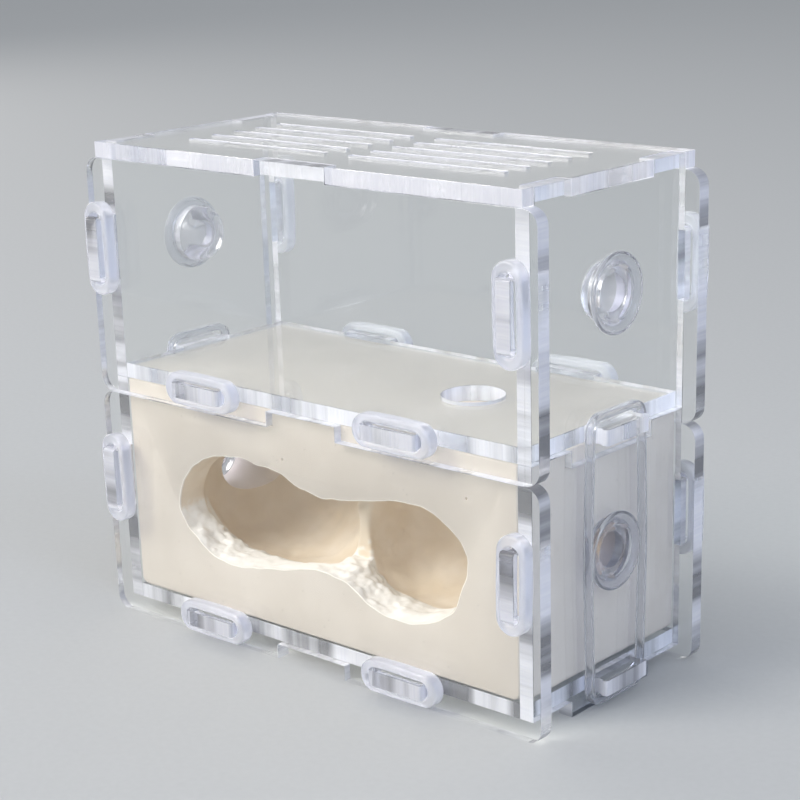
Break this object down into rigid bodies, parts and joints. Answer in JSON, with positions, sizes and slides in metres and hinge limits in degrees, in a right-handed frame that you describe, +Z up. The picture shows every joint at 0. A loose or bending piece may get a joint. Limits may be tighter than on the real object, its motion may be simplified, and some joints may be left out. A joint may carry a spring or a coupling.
{
  "type": "ant habitat",
  "caption": "Two-storey clear acrylic ant habitat: open arena over a carved plaster nest, slit lid, end plugs, held together with silicone rings.",
  "frame": {"origin": "centre of the foot area, on the surface the habitat stands on", "axes": "+X along the front towards the right end, +Y from the front to the back, +Z up"},
  "size_m": [0.1122, 0.0572, 0.097],
  "materials": {
    "clear_acrylic": "clear, polished faces, laser-cut edges",
    "silicone": "translucent milky silicone",
    "plaster": "dry cast plaster, carved by hand"
  },
  "bodies": {
    "habitat": {"lower_front_panel": "clear_acrylic", "lower_back_panel": "clear_acrylic", "lower_left_panel": "clear_acrylic", "lower_right_panel": "clear_acrylic", "upper_front_panel": "clear_acrylic", "upper_back_panel": "clear_acrylic", "upper_left_panel": "clear_acrylic", "upper_right_panel": "clear_acrylic", "base_plate": "clear_acrylic", "upper_floor": "clear_acrylic", "lower_left_front_ring": "silicone", "lower_right_front_ring": "silicone", "lower_left_back_ring": "silicone", "lower_right_back_ring": "silicone", "upper_left_front_ring": "silicone", "upper_right_front_ring": "silicone", "upper_left_back_ring": "silicone", "upper_right_back_ring": "silicone", "base_plate_left_front_ring": "silicone", "base_plate_right_front_ring": "silicone", "base_plate_left_back_ring": "silicone", "base_plate_right_back_ring": "silicone", "upper_floor_left_front_ring": "silicone", "upper_floor_right_front_ring": "silicone", "upper_floor_left_back_ring": "silicone", "upper_floor_right_back_ring": "silicone", "left_tie_loop": "silicone", "right_tie_loop": "silicone", "plaster_nest": "plaster"},
    "lid": {"lid": "clear_acrylic"},
    "lower_left_plug": {"lower_left_plug": "silicone"},
    "lower_right_plug": {"lower_right_plug": "silicone"},
    "upper_left_plug": {"upper_left_plug": "silicone"},
    "upper_right_plug": {"upper_right_plug": "silicone"}
  },
  "joints": [
    {"name": "lid_lift", "type": "slide", "parent": "habitat", "child": "lid", "axis": [0, 0, 1], "range_m": [0, 0.035]},
    {"name": "lower_left_plug_pull", "type": "slide", "parent": "habitat", "child": "lower_left_plug", "axis": [-1, 0, 0], "range_m": [0, 0.016]},
    {"name": "lower_right_plug_pull", "type": "slide", "parent": "habitat", "child": "lower_right_plug", "axis": [1, 0, 0], "range_m": [0, 0.016]},
    {"name": "upper_left_plug_pull", "type": "slide", "parent": "habitat", "child": "upper_left_plug", "axis": [-1, 0, 0], "range_m": [0, 0.016]},
    {"name": "upper_right_plug_pull", "type": "slide", "parent": "habitat", "child": "upper_right_plug", "axis": [1, 0, 0], "range_m": [0, 0.016]}
  ]
}
